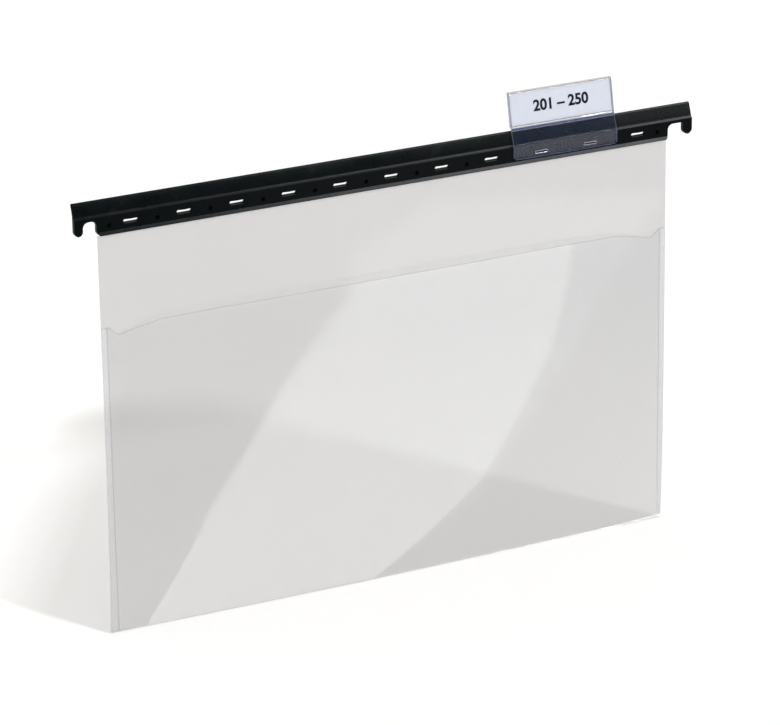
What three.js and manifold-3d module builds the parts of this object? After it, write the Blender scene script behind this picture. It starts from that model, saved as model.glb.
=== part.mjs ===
// A hanging file pocket for A4 sheets laid on their long side: a two-part hanger rail with a hook
// at each end, one folded and side-welded film, and a clip-on index tab with its label card.
// Millimetres, +Z up. X runs along the rail, Y is 0 in the film's plane with the front at -Y, and
// Z is 0 on the hanging line, the height at which the cabinet's runners carry both hooks.
import * as THREE from 'three';
import { mergeVertices } from 'three/addons/utils/BufferGeometryUtils.js';
import Module from 'manifold-3d';

const wasm = await Module();
wasm.setup();

// Hanger rail
const bodyLength = 321;
const railAboveSeat = 9.4;
const railBelowSeat = 8;
const flangeThickness = 1.0;
const stepBelowTop = 7.6;
const bandSetback = 3.3;
const bandThickness = 0.9;
const bandBevel = 0.7;
const sweepRise = 2.65;
const sweepSetback = 1.6;
const lipDepth = 1.9;
const lipProud = 1.0;
const lipRound = 0.35;
const railCornerRadius = 2.5;

// Hooks, one at each end of the rail: a close one at the left, and one with some play at the right
const leftNotchWidth = 7.2;
const leftProngWidth = 4.6;
const leftNotchRadius = 3;
const rightNotchWidth = 9.1;
const rightProngWidth = 5.4;
const rightNotchRadius = 3;
const prongBelowSeat = 6.7;

// Slots for index tabs and the studs that close the rail
const slotCount = 11;
const slotPitch = 28.5;
const slotWidth = 8;
const slotHeight = 2.3;
const slotCornerRadius = 0.8;
const slotBelowSeat = 2.6;
const studRadius = 0.9;
const studBelowSeat = 3.2;
const studRecess = 0.35;
const studFromStripEnd = 3.5;
const fitGap = 0.3;

// Back strip
const stripThickness = 1.0;
const stripEndMargin = 3;
const stripAboveSeat = 0.7;

// Film pocket
const filmThickness = 0.3;
const filmInset = 0.5;
const filmDrop = 212;
const frontPanelHeight = 165.4;
const weldWidth = 3;
const mouthGap = 4.9;
const bellyGap = 1.3;
const backBelly = 0.9;
const foldBow = 2.8;
const foldGap = 0.25;
const foldZone = 15;
const flatUnderRail = 1;
const earWidth = 4;
const dipFromSide = 9;
const dipDepth = 6.1;
const shoulderWidth = 32;
const earDrop = 1.8;

// Index tab
const tabWidth = 60;
const tabFirstSlot = 8;
const plateThickness = 1.0;
const plateBelowSeat = 5.2;
const plateCornerRadius = 1.6;
const leanWall = 0.8;
const kneeAboveRail = 0.9;
const tabWall = 0.5;
const pocketDepth = 1.83;
const pocketLean = THREE.MathUtils.degToRad(10.5);
const pocketRise = 18.4;
const roofRise = 0.9;
const pocketFloor = 1.3;
const pegGap = 0.3;
const pegEndMargin = 0.3;
const coreWall = 0.45;
const coreFloor = 0.6;

// Label card
const cardThickness = 0.3;
const cardEndMargin = 0.75;
const cardGap = 0.15;

// Cutting bodies run this far past what they cut
const cutReach = 40;
const mergeDistance = 1e-4;

// Planes and heights that follow from the sizes above
const yFront = -(filmThickness / 2 + flangeThickness);
const yRear = filmThickness / 2 + stripThickness;
const zTop = railAboveSeat;
const zBottom = -railBelowSeat;
const zStep = zTop - stepBelowTop;
const halfBody = bodyLength / 2;
const leftNotchOuter = -halfBody - leftNotchWidth;
const leftEnd = leftNotchOuter - leftProngWidth;
const rightNotchOuter = halfBody + rightNotchWidth;
const rightEnd = rightNotchOuter + rightProngWidth;
const stripHalf = halfBody - stripEndMargin;
const filmHalf = halfBody - filmInset;
const filmBottom = zBottom - filmDrop;
const mouthZ = filmBottom + frontPanelHeight;
const shoulderZ = zBottom - fitGap;
const slotX = Array.from({ length: slotCount }, (_, i) => (i - (slotCount - 1) / 2) * slotPitch);
// A stud midway between two slots, and one near each end of the strip.
const studX = [-stripHalf + studFromStripEnd,
  ...slotX.slice(1).map((x) => x - slotPitch / 2),
  stripHalf - studFromStripEnd];
const tabX = (slotX[tabFirstSlot] + slotX[tabFirstSlot + 1]) / 2;

// Frames for shapes drawn flat: a section seen along X, and an outline seen from the front.
const sectionFrame = new THREE.Matrix4().makeBasis(
  new THREE.Vector3(0, 1, 0), new THREE.Vector3(0, 0, 1), new THREE.Vector3(1, 0, 0));
const outlineFrame = new THREE.Matrix4().makeBasis(
  new THREE.Vector3(1, 0, 0), new THREE.Vector3(0, 0, 1), new THREE.Vector3(0, -1, 0));

// A closed three.js geometry becomes a solid that can be joined and cut.
function solidOf(geometry) {
  const bare = geometry.clone();
  bare.deleteAttribute('normal');
  bare.deleteAttribute('uv');
  const merged = mergeVertices(bare, mergeDistance);
  const corners = merged.index.array;
  const faces = [];
  for (let i = 0; i < corners.length; i += 3) {
    const [a, b, c] = corners.slice(i, i + 3);
    if (a !== b && b !== c && c !== a) faces.push(a, b, c);
  }
  return new wasm.Manifold(new wasm.Mesh({
    numProp: 3,
    vertProperties: Float32Array.from(merged.attributes.position.array),
    triVerts: Uint32Array.from(faces),
  }));
}

function geometryOf(solid) {
  const mesh = solid.getMesh();
  const geometry = new THREE.BufferGeometry();
  geometry.setAttribute('position', new THREE.BufferAttribute(Float32Array.from(mesh.vertProperties), 3));
  geometry.setIndex(new THREE.BufferAttribute(Uint32Array.from(mesh.triVerts), 1));
  geometry.computeVertexNormals();
  return geometry;
}

function extrudeAlongX(shape, x0, x1, curveSegments = 6) {
  const geometry = new THREE.ExtrudeGeometry(shape, { depth: x1 - x0, bevelEnabled: false, curveSegments });
  geometry.translate(0, 0, x0);
  return solidOf(geometry.applyMatrix4(sectionFrame));
}

function extrudeAlongY(shape, y0, y1, curveSegments = 6) {
  const geometry = new THREE.ExtrudeGeometry(shape, { depth: y1 - y0, bevelEnabled: false, curveSegments });
  geometry.translate(0, 0, -y1);
  return solidOf(geometry.applyMatrix4(outlineFrame));
}

function block(x0, x1, y0, y1, z0, z1) {
  const geometry = new THREE.BoxGeometry(x1 - x0, y1 - y0, z1 - z0);
  geometry.translate((x0 + x1) / 2, (y0 + y1) / 2, (z0 + z1) / 2);
  return solidOf(geometry);
}

function roundedBar(cx, cz, width, height, radius) {
  const shape = new THREE.Shape();
  const right = cx + width / 2;
  const left = cx - width / 2;
  const top = cz + height / 2;
  const bottom = cz - height / 2;
  shape.moveTo(left + radius, bottom);
  shape.lineTo(right - radius, bottom);
  shape.absarc(right - radius, bottom + radius, radius, -Math.PI / 2, 0);
  shape.lineTo(right, top - radius);
  shape.absarc(right - radius, top - radius, radius, 0, Math.PI / 2);
  shape.lineTo(left + radius, top);
  shape.absarc(left + radius, top - radius, radius, Math.PI / 2, Math.PI);
  shape.lineTo(left, bottom + radius);
  shape.absarc(left + radius, bottom + radius, radius, Math.PI, 1.5 * Math.PI);
  return shape;
}

// A round bar along Y, in whole faces.
function studBar(x, radius, y0, y1) {
  const geometry = new THREE.CylinderGeometry(radius, radius, y1 - y0, 12);
  geometry.translate(x, (y0 + y1) / 2, -studBelowSeat);
  return solidOf(geometry);
}

function cutSlots(solid) {
  return slotX.reduce((body, x) => {
    const slot = roundedBar(x, -slotBelowSeat, slotWidth, slotHeight, slotCornerRadius);
    return body.subtract(extrudeAlongY(slot, -cutReach, cutReach, 3));
  }, solid);
}

function cutStudHoles(solid) {
  const holeRadius = studRadius + fitGap;
  return studX.reduce((body, x) => body.subtract(studBar(x, holeRadius, -cutReach, cutReach)), solid);
}

// The rail's section: a flat flange with a flared lip below, a step, and a band that sweeps back.
function railSection() {
  const sweepTop = zStep + sweepRise;
  const bandTop = yFront + bandSetback;
  const lipTop = zBottom + lipDepth;
  const shape = new THREE.Shape();
  shape.moveTo(yRear, zBottom);
  shape.lineTo(yFront - lipProud + lipRound, zBottom);
  shape.quadraticCurveTo(yFront - lipProud, zBottom, yFront - lipProud, zBottom + lipRound);
  shape.lineTo(yFront, lipTop);
  shape.lineTo(yFront, zStep);
  shape.quadraticCurveTo(yFront + 0.6 * sweepSetback, zStep, yFront + sweepSetback, sweepTop);
  shape.lineTo(bandTop, zTop - bandBevel);
  shape.lineTo(bandTop + bandBevel, zTop);
  shape.lineTo(bandTop + bandThickness, zTop);
  shape.lineTo(Math.max(yFront + sweepSetback + bandThickness, yRear), sweepTop);
  shape.lineTo(yRear, sweepTop - bandThickness);
  return shape;
}

// The rail seen from the front: both hooks, with the notches that drop over the runners.
function railOutline() {
  const leftProng = leftProngWidth / 2;
  const rightProng = rightProngWidth / 2;
  const r = railCornerRadius;
  const shape = new THREE.Shape();
  shape.moveTo(leftEnd, zTop);
  shape.lineTo(leftEnd, leftProng - prongBelowSeat);
  shape.absarc(leftEnd + leftProng, leftProng - prongBelowSeat, leftProng, Math.PI, 2 * Math.PI);
  shape.lineTo(leftNotchOuter, -leftNotchRadius);
  shape.absarc(leftNotchOuter + leftNotchRadius, -leftNotchRadius, leftNotchRadius,
    Math.PI, Math.PI / 2, true);
  shape.lineTo(-halfBody - leftNotchRadius, 0);
  shape.absarc(-halfBody - leftNotchRadius, -leftNotchRadius, leftNotchRadius, Math.PI / 2, 0, true);
  shape.lineTo(-halfBody, zBottom + r);
  shape.absarc(-halfBody + r, zBottom + r, r, Math.PI, 1.5 * Math.PI);
  shape.lineTo(halfBody - r, zBottom);
  shape.absarc(halfBody - r, zBottom + r, r, 1.5 * Math.PI, 2 * Math.PI);
  shape.lineTo(halfBody, -rightNotchRadius);
  shape.absarc(halfBody + rightNotchRadius, -rightNotchRadius, rightNotchRadius,
    Math.PI, Math.PI / 2, true);
  shape.lineTo(rightNotchOuter, 0);
  shape.lineTo(rightNotchOuter, rightProng - prongBelowSeat);
  shape.absarc(rightEnd - rightProng, rightProng - prongBelowSeat, rightProng, Math.PI, 2 * Math.PI);
  shape.lineTo(rightEnd, zTop);
  return shape;
}

function makeRailFront() {
  const body = extrudeAlongX(railSection(), leftEnd, rightEnd, 5)
    .intersect(extrudeAlongY(railOutline(), -cutReach, cutReach, 7));
  const rebate = block(-stripHalf - fitGap, stripHalf + fitGap, -filmThickness / 2, cutReach,
    zBottom - cutReach, stripAboveSeat + fitGap);
  return cutStudHoles(cutSlots(body.subtract(rebate)));
}

// The strip closes the rail from behind. Its studs pass through the film into the front half.
function makeRailBack() {
  const strip = cutSlots(
    block(-stripHalf, stripHalf, filmThickness / 2, yRear, zBottom, stripAboveSeat));
  const embedded = filmThickness / 2 + stripThickness / 2;
  return studX.reduce((body, x) => body.add(studBar(x, studRadius, yFront + studRecess, embedded)), strip);
}

// How far down the free film a height lies, and how far down the pocket: 0 at the top, 1 at the fold.
function hangShare(z) {
  return THREE.MathUtils.clamp((shoulderZ - z) / (shoulderZ - filmBottom), 0, 1);
}

function pocketShare(z) {
  return THREE.MathUtils.clamp((mouthZ - z) / frontPanelHeight, 0, 1);
}

// Middle of the back panel: flat under the rail, bellied behind the pocket, bowed out at the fold.
function backPanelY(x, z) {
  const across = 1 - (x / filmHalf) ** 2;
  const down = pocketShare(z);
  const belly = backBelly * 4 * down * (1 - down);
  return across * (belly - foldBow * hangShare(z) ** 4);
}

// Distance between the two panels' middles, and the film's own thickness where they are welded.
function panelSpacing(x, z) {
  const u = Math.min(Math.abs(x) / (filmHalf - weldWidth), 1);
  const down = pocketShare(z);
  const open = mouthGap + bellyGap * 4 * down * (1 - down);
  const closing = 1 - THREE.MathUtils.clamp((down - 0.55) / 0.45, 0, 1) ** 3;
  return filmThickness + (1 - u ** 4) * (foldGap + (open - foldGap) * closing);
}

// A closed body between two surfaces y(x, z) over one grid of stations.
function slabBetween(xs, zs, nearY, farY) {
  const positions = [];
  const indices = [];
  const rows = zs.length;
  for (const face of [nearY, farY]) {
    for (const x of xs) {
      for (const z of zs) positions.push(x, face(x, z), z);
    }
  }
  const near = (i, j) => i * rows + j;
  const far = (i, j) => (xs.length + i) * rows + j;
  const quad = (a, b, c, d) => indices.push(a, b, c, a, c, d);
  for (let i = 0; i + 1 < xs.length; i += 1) {
    for (let j = 0; j + 1 < rows; j += 1) {
      quad(near(i, j), near(i + 1, j), near(i + 1, j + 1), near(i, j + 1));
      quad(far(i, j), far(i, j + 1), far(i + 1, j + 1), far(i + 1, j));
    }
    quad(near(i, 0), far(i, 0), far(i + 1, 0), near(i + 1, 0));
    quad(near(i, rows - 1), near(i + 1, rows - 1), far(i + 1, rows - 1), far(i, rows - 1));
  }
  for (let j = 0; j + 1 < rows; j += 1) {
    quad(near(0, j), near(0, j + 1), far(0, j + 1), far(0, j));
    const last = xs.length - 1;
    quad(near(last, j), far(last, j), far(last, j + 1), near(last, j + 1));
  }
  const geometry = new THREE.BufferGeometry();
  geometry.setAttribute('position', new THREE.Float32BufferAttribute(positions, 3));
  geometry.setIndex(indices);
  return solidOf(geometry);
}

// The front panel's top edge: straight, with a dip before the ear that is welded at each side.
function mouthCutter() {
  const top = stripAboveSeat + cutReach;
  const out = filmHalf + cutReach;
  const ear = mouthZ - earDrop;
  const edge = [
    [filmHalf - earWidth, ear],
    [filmHalf - dipFromSide, mouthZ - dipDepth],
    [filmHalf - dipFromSide - (shoulderWidth - dipFromSide) * 0.4, mouthZ - dipDepth * 0.55],
    [filmHalf - shoulderWidth, mouthZ - earDrop * 0.4],
    [filmHalf - 2 * shoulderWidth, mouthZ],
  ];
  const shape = new THREE.Shape();
  shape.moveTo(-out, top);
  shape.lineTo(-out, ear);
  for (const [x, z] of edge) shape.lineTo(-x, z);
  for (const [x, z] of [...edge].reverse()) shape.lineTo(x, z);
  shape.lineTo(out, ear);
  shape.lineTo(out, top);
  return extrudeAlongY(shape, -cutReach, cutReach);
}

function stations(from, to, count) {
  return Array.from({ length: count + 1 }, (_, i) => from + (to - from) * i / count);
}

function makePocketFilm() {
  const half = filmThickness / 2;
  const weldEdge = filmHalf - weldWidth;
  const foldTop = filmBottom + foldZone;
  const xs = [-filmHalf, -weldEdge, ...stations(weldWidth - weldEdge, weldEdge - weldWidth, 20),
    weldEdge, filmHalf];
  const zs = [...stations(filmBottom, foldTop, 4), ...stations(foldTop, mouthZ, 8).slice(1),
    ...stations(mouthZ, shoulderZ - flatUnderRail, 2).slice(1), shoulderZ, stripAboveSeat];
  const backFace = (x, z) => (z < shoulderZ ? backPanelY(x, z) : 0) + half;
  const backInner = (x, z) => backFace(x, z) - filmThickness;
  const frontOuter = (x, z) => backInner(x, z) - panelSpacing(x, z);
  const frontInner = (x, z) => frontOuter(x, z) + filmThickness;
  const whole = slabBetween(xs, zs, frontOuter, backFace);

  // What is cut away: the space between the panels, and the front panel above its mouth.
  const outerXs = [xs[0] - cutReach, ...xs.slice(1, -1), xs[xs.length - 1] + cutReach];
  const outerZs = [...zs.slice(0, -1), stripAboveSeat + cutReach];
  const beforeBack = slabBetween(outerXs, outerZs, () => -cutReach, backInner);
  const innerXs = [-weldEdge + weldWidth / 15, ...xs.slice(2, -2), weldEdge - weldWidth / 15];
  const innerZs = [filmBottom + 2 * filmThickness, ...outerZs.slice(1)];
  const behindFront = slabBetween(innerXs, innerZs, frontInner, () => cutReach);

  let film = whole.subtract(beforeBack.intersect(behindFront.add(mouthCutter())));
  for (const [x0, x1] of [[-filmHalf - cutReach, -stripHalf], [stripHalf, filmHalf + cutReach]]) {
    film = film.subtract(block(x0, x1, -cutReach, cutReach, shoulderZ, stripAboveSeat + cutReach));
  }
  return cutStudHoles(cutSlots(film));
}

// Points of the tab's section in its leaning label pocket: up the pocket, and back through it.
const zBend = zStep + fitGap;
const kneeZ = zTop + kneeAboveRail;
const kneeRearY = yFront + bandSetback - fitGap / 2;
const kneeY = kneeRearY - leanWall;
function inPocket(up, back) {
  return [
    kneeY + up * Math.sin(pocketLean) + back * Math.cos(pocketLean),
    kneeZ + up * Math.cos(pocketLean) - back * Math.sin(pocketLean),
  ];
}

function polygon(points) {
  return new THREE.Shape(points.map(([a, b]) => new THREE.Vector2(a, b)));
}

function tabSection() {
  return polygon([
    [yFront - plateThickness, -plateBelowSeat],
    [yFront, -plateBelowSeat],
    [yFront, zBend],
    [kneeRearY, kneeZ],
    inPocket(2 * tabWall, pocketDepth),
    inPocket(pocketRise + roofRise, pocketDepth),
    inPocket(pocketRise, 0),
    inPocket(0, 0),
    [yFront - plateThickness, zBend],
  ]);
}

function cardSlotSection() {
  const roofSlope = roofRise / pocketDepth;
  const inner = pocketDepth - tabWall;
  const underRoof = (back) => pocketRise + back * roofSlope - tabWall * Math.hypot(1, roofSlope);
  return polygon([
    inPocket(pocketFloor, tabWall),
    inPocket(pocketFloor, inner),
    inPocket(underRoof(inner), inner),
    inPocket(underRoof(tabWall), tabWall),
  ]);
}

function makeTabHolder() {
  const x0 = tabX - tabWidth / 2;
  const x1 = tabX + tabWidth / 2;
  let tab = extrudeAlongX(tabSection(), x0, x1)
    .subtract(extrudeAlongX(cardSlotSection(), x0 - cutReach, x1 + cutReach));
  const outline = roundedBar(tabX, cutReach - plateBelowSeat, tabWidth, 2 * cutReach, plateCornerRadius);
  tab = tab.intersect(extrudeAlongY(outline, -cutReach, cutReach));
  for (const x of [slotX[tabFirstSlot], slotX[tabFirstSlot + 1]]) {
    const pegWidth = slotWidth - 2 * pegGap;
    const pegHeight = slotHeight - 2 * pegGap;
    const peg = roundedBar(x, -slotBelowSeat, pegWidth, pegHeight, slotCornerRadius - pegGap / 2);
    const core = roundedBar(x, -slotBelowSeat, pegWidth - 2 * coreWall, pegHeight - 2 * coreWall,
      (pegHeight - 2 * coreWall) / 3);
    const yEnd = yRear - pegEndMargin;
    tab = tab.add(extrudeAlongY(peg, yFront - plateThickness / 2, yEnd, 3))
      .subtract(extrudeAlongY(core, -cutReach, yEnd - coreFloor, 3));
  }
  return tab;
}

function makeLabelCard() {
  const front = tabWall + cardGap;
  const bottom = pocketFloor + cardGap;
  const roofSlope = roofRise / pocketDepth;
  const top = pocketRise + front * roofSlope - tabWall * Math.hypot(1, roofSlope) - 2 * cardGap;
  const section = polygon([
    inPocket(bottom, front),
    inPocket(bottom, front + cardThickness),
    inPocket(top, front + cardThickness),
    inPocket(top, front),
  ]);
  const half = tabWidth / 2 - cardEndMargin;
  return extrudeAlongX(section, tabX - half, tabX + half);
}

const blackPlastic = { color: 0x16191b, roughness: 0.42, metalness: 0 };
const parts = [
  ['rail_front', makeRailFront(), new THREE.MeshStandardMaterial(blackPlastic)],
  ['rail_back', makeRailBack(), new THREE.MeshStandardMaterial(blackPlastic)],
  ['pocket_film', makePocketFilm(), new THREE.MeshStandardMaterial(
    { color: 0xdedbd9, roughness: 0.28, metalness: 0, transparent: true, opacity: 0.5 })],
  ['tab_holder', makeTabHolder(), new THREE.MeshStandardMaterial(
    { color: 0xd5daea, roughness: 0.12, metalness: 0, transparent: true, opacity: 0.35 })],
  ['label_card', makeLabelCard(), new THREE.MeshStandardMaterial(
    { color: 0xe3e7f2, roughness: 0.8, metalness: 0 })],
];

const hangingFilePocket = new THREE.Group();
for (const [name, solid, material] of parts) {
  const mesh = new THREE.Mesh(geometryOf(solid), material);
  mesh.name = name;
  hangingFilePocket.add(mesh);
}

export default hangingFilePocket;
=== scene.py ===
"""A hanging file pocket: a black hanger rail with a hook at each end, a clear film pocket clamped in
it, and a clip-on index tab with its label card. Metres, +Z up, X along the rail, front at -Y, and
Z = 0 on the line where the hooks rest on a cabinet's runners. Sizes are written in millimetres."""
import math

import bmesh
import bpy
import numpy as np
from mathutils import Matrix, Vector


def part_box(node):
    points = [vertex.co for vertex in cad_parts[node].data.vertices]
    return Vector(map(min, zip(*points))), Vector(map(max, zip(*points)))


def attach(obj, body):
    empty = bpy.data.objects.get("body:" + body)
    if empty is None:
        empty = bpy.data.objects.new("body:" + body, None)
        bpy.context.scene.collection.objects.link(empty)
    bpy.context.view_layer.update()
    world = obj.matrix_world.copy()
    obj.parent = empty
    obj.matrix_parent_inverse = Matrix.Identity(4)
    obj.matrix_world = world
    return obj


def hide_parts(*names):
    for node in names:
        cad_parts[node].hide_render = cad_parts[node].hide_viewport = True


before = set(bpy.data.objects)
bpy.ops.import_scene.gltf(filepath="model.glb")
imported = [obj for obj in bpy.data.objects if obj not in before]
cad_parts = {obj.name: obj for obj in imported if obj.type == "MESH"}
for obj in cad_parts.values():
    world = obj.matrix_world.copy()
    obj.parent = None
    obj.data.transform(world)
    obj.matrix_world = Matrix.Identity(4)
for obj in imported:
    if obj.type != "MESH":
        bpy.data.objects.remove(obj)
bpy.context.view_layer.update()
mm = 0.001

# Camera
# A long lens in front of the pocket's left end, a little above it, looking down across the rail.
eye = Vector((-877.4, -1766.4, 644.9)) * mm
pan, tilt, roll = (math.radians(angle) for angle in (26.37, 20.77, -0.81))
forward = Vector((math.sin(pan) * math.cos(tilt), math.cos(pan) * math.cos(tilt), -math.sin(tilt)))
level = Vector((math.cos(pan), -math.sin(pan), 0))
upright = level.cross(forward)
right = math.cos(roll) * level + math.sin(roll) * upright
up = math.cos(roll) * upright - math.sin(roll) * level
camera = bpy.data.objects.new("camera", bpy.data.cameras.new("camera"))
picture_width, focal_length = 780, 4124
camera.data.sensor_width = 36
camera.data.lens = 36 * focal_length / picture_width
camera.matrix_world = Matrix((right, up, -forward)).transposed().to_4x4()
camera.location = eye
bpy.context.scene.collection.objects.link(camera)
bpy.context.scene.camera = camera
bpy.context.scene.view_settings.view_transform = "Standard"
bpy.context.scene.cycles.use_denoising = True

# Floor and light
# A white sweep just under the pocket, even daylight from all round and a sun on the right. Studio cards
# show in gloss only: on the floor for the film, upright for the rail and overhead for its edges.
# The sweep itself glows a little at the far left: painted light that washes out the pocket's shadow
# there.
film_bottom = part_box("pocket_film")[0].z
floor_height = film_bottom - 0.5 * mm


def link(name, data):
    thing = bpy.data.objects.new(name, data)
    bpy.context.scene.collection.objects.link(thing)
    return thing


def flat_card(name, corners, height):
    mesh = bpy.data.meshes.new(name)
    mesh.from_pydata([(x * mm, y * mm, height) for x, y in corners], [], [range(len(corners))])
    card = link(name, mesh)
    return card


def plain_material(name, color, glow=0.0):
    """A matt colour with no gloss that can glow, but isn't searched for as a lamp."""
    material = bpy.data.materials.new(name)
    material.use_nodes = True
    surface = material.node_tree.nodes["Principled BSDF"]
    surface.inputs["Base Color"].default_value = (*color, 1)
    surface.inputs["Roughness"].default_value = 1
    surface.inputs["Specular IOR Level"].default_value = 0
    surface.inputs["Emission Color"].default_value = (1, 1, 1, 1)
    surface.inputs["Emission Strength"].default_value = glow
    material.cycles.emission_sampling = "NONE"
    return material


def seen_only_in_gloss(card):
    card.visible_camera = False
    card.visible_diffuse = False
    card.visible_transmission = False
    card.visible_shadow = False
    card.visible_volume_scatter = False


floor_radius, floor_centre_y = 1400, 200
around = [math.radians(angle) for angle in range(0, 360, 5)]
floor = flat_card("floor", [(floor_radius * math.cos(t), floor_radius * math.sin(t) + floor_centre_y)
                            for t in around], floor_height)
sweep = plain_material("white sweep", (0.9, 0.9, 0.9), glow=1)
floor.data.materials.append(sweep)
# Painted light: the sweep glows more away from the pocket towards the far left, and not further back, to
# wash out its shadow.
shadow_side, fade_in, fade_out, strongest_painted_glow = (-0.85, 0.52, 0), (0.172, 0.212), (0.31, 0.36), 0.216
spot = sweep.node_tree.nodes.new("ShaderNodeTexCoord")
away = sweep.node_tree.nodes.new("ShaderNodeVectorMath")
away.operation = "DOT_PRODUCT"
away.inputs[1].default_value = shadow_side
apart = sweep.node_tree.nodes.new("ShaderNodeSeparateXYZ")
lift = sweep.node_tree.nodes.new("ShaderNodeMapRange")
near = sweep.node_tree.nodes.new("ShaderNodeMapRange")
for node, source, result in ((lift, fade_in, (0.0, strongest_painted_glow)), (near, fade_out, (1.0, 0.0))):
    node.inputs["From Min"].default_value, node.inputs["From Max"].default_value = source
    node.inputs["To Min"].default_value, node.inputs["To Max"].default_value = result
glow = sweep.node_tree.nodes.new("ShaderNodeMath")
glow.operation = "MULTIPLY"
floor_surface = sweep.node_tree.nodes["Principled BSDF"]
for start, end in (
        (spot.outputs["Object"], away.inputs[0]), (spot.outputs["Object"], apart.inputs[0]),
        (away.outputs["Value"], lift.inputs["Value"]), (apart.outputs["Y"], near.inputs["Value"]),
        (lift.outputs["Result"], glow.inputs[0]), (near.outputs["Result"], glow.inputs[1]),
        (glow.outputs[0], floor_surface.inputs["Emission Strength"])):
    sweep.node_tree.links.new(start, end)

black, nearly_black = (0, 0, 0), (0.02, 0.02, 0.02)
floor_cards = floor_height + 1 * mm
for name, corners, height, color, glow in (
        ("bright_card", [(-142, -2), (-13, -5), (99, -94), (219, -221), (307, -325), (440, -475),
                         (290, -526), (196, -454), (147, -355), (51, -251), (-56, -125)],
         floor_cards, black, 2.1),
        ("low_card", [(180, -590), (180, -760), (370, -760), (370, -590)], floor_cards, black, 2.5),
        ("shade_card", [(-500, -590), (-500, -800), (110, -800), (110, -590)],
         floor_cards, nearly_black, 0),
        ("plate_card", [(370, -590), (370, -760), (640, -760), (640, -590)], floor_cards, black, 1.6),
        ("top_card", [(350, 900), (350, -500), (750, -1200), (750, -1750), (2200, -1750), (2200, 900)],
         1400 * mm, black, 3.6),
        ("window_card", [(850, 300), (850, -1050), (2200, -1050), (2200, 300)], 1380 * mm, black, 20),
        ("lip_card", [(800, -1050), (800, -1750), (1500, -1750), (1500, -1050)], 1380 * mm, black, 36)):
    card = flat_card(name, corners, height)
    card.data.materials.append(plain_material(name, color, glow))
    seen_only_in_gloss(card)
for name, (x0, x1), (z0, z1), y, glow in (("side_card", (300, 780), (200, 600), -1500, 1.2),
                                          ("right_card", (1100, 2300), (200, 900), -1500, 10),
                                          ("back_card", (-500, 2200), (200, 1200), 1600, 1.7)):
    card = flat_card(name, [(x0, z0), (x1, z0), (x1, z1), (x0, z1)], 0)
    card.data.transform(Matrix.Translation((0, y * mm, 0)) @ Matrix.Rotation(math.pi / 2, 4, "X"))
    card.data.materials.append(plain_material(name, black, glow))
    seen_only_in_gloss(card)

world = bpy.data.worlds.new("daylight")
world.use_nodes = True
bpy.context.scene.world = world
sky = world.node_tree.nodes["Background"]
sky.inputs["Color"].default_value = (1, 0.975, 0.945, 1)
lit_strength, gloss_strength = 0.84, 0.18
path = world.node_tree.nodes.new("ShaderNodeLightPath")
strength = world.node_tree.nodes.new("ShaderNodeMath")
strength.operation = "MULTIPLY_ADD"
world.node_tree.links.new(path.outputs["Is Glossy Ray"], strength.inputs[0])
strength.inputs[1].default_value = gloss_strength - lit_strength
strength.inputs[2].default_value = lit_strength
brighter = world.node_tree.nodes.new("ShaderNodeMath")
brighter.operation = "MAXIMUM"
world.node_tree.links.new(strength.outputs[0], brighter.inputs[0])
world.node_tree.links.new(path.outputs["Is Camera Ray"], brighter.inputs[1])
world.node_tree.links.new(brighter.outputs[0], sky.inputs["Strength"])

key = link("key_light", bpy.data.lights.new("key_light", "SUN"))
key.data.energy = 1.95
key.data.angle = math.radians(6)
key.data.color = (0.95, 0.98, 1.0)
key.visible_glossy = False
sunbeam = Vector((-0.392, 0.704, -0.592))
key.rotation_euler = sunbeam.to_track_quat("-Z", "Y").to_euler()

# Hanger rail, front half
# One black injection moulding: a flat flange over the film, a band that sweeps back above it and a
# flared lip below. The end notches hang on the cabinet's runners. The flange has slots and stud holes.
seat_to_top, seat_to_bottom = 9.4, 8.0
half_body = 160.5
left_notch, left_prong = 7.2, 4.6
right_notch, right_prong = 9.1, 5.4
notch_round, rail_corner, end_round = 3.0, 2.5, 0.5
prong_drop = 6.7
film_thickness, flange, strip_thickness = 0.3, 1.0, 1.0
front_face = -(film_thickness / 2 + flange)
rear_face = film_thickness / 2 + strip_thickness
step_height = seat_to_top - 7.6
band_setback, band_thickness, band_bevel = 3.3, 0.9, 0.7
sweep_rise, sweep_setback = 2.65, 1.6
lip_depth, lip_proud, lip_round = 1.9, 1.0, 0.35
clearance = 0.3
far = 20
strip_half, strip_top = half_body - 3.0, 0.7
slot_row = {"Slots": 11, "Pitch": 28.5 * mm}
slot_size = {"Width": 8.0 * mm, "Height": 2.3 * mm, "Corner": 0.8 * mm, "Below Seat": 2.6 * mm}
stud_radius, stud_drop, stud_end = 0.9, 3.2, strip_half - 3.5
stud_sizes = {**slot_row, "End": stud_end * mm, "Below Seat": stud_drop * mm}


def rounded(corners, steps=8):
    """An outline from corners (a, b, radius), with an arc in place of each corner."""
    outline = []
    for i, (a, b, radius) in enumerate(corners):
        here = Vector((a, b))
        back = (Vector(corners[i - 1][:2]) - here).normalized()
        ahead = (Vector(corners[(i + 1) % len(corners)][:2]) - here).normalized()
        if radius == 0:
            outline.append(tuple(here))
            continue
        half_angle = back.angle(ahead) / 2
        reach = radius / math.tan(half_angle)
        centre = here + (back + ahead).normalized() * radius / math.sin(half_angle)
        first, last = here + back * reach - centre, here + ahead * reach - centre
        sweep = first.angle_signed(last)
        for step in range(steps + 1):
            spoke = first.copy()
            spoke.rotate(Matrix.Rotation(-sweep * step / steps, 2))
            outline.append(tuple(centre + spoke))
    return [p for i, p in enumerate(outline) if (Vector(p) - Vector(outline[i - 1])).length > 1e-4]


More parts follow.
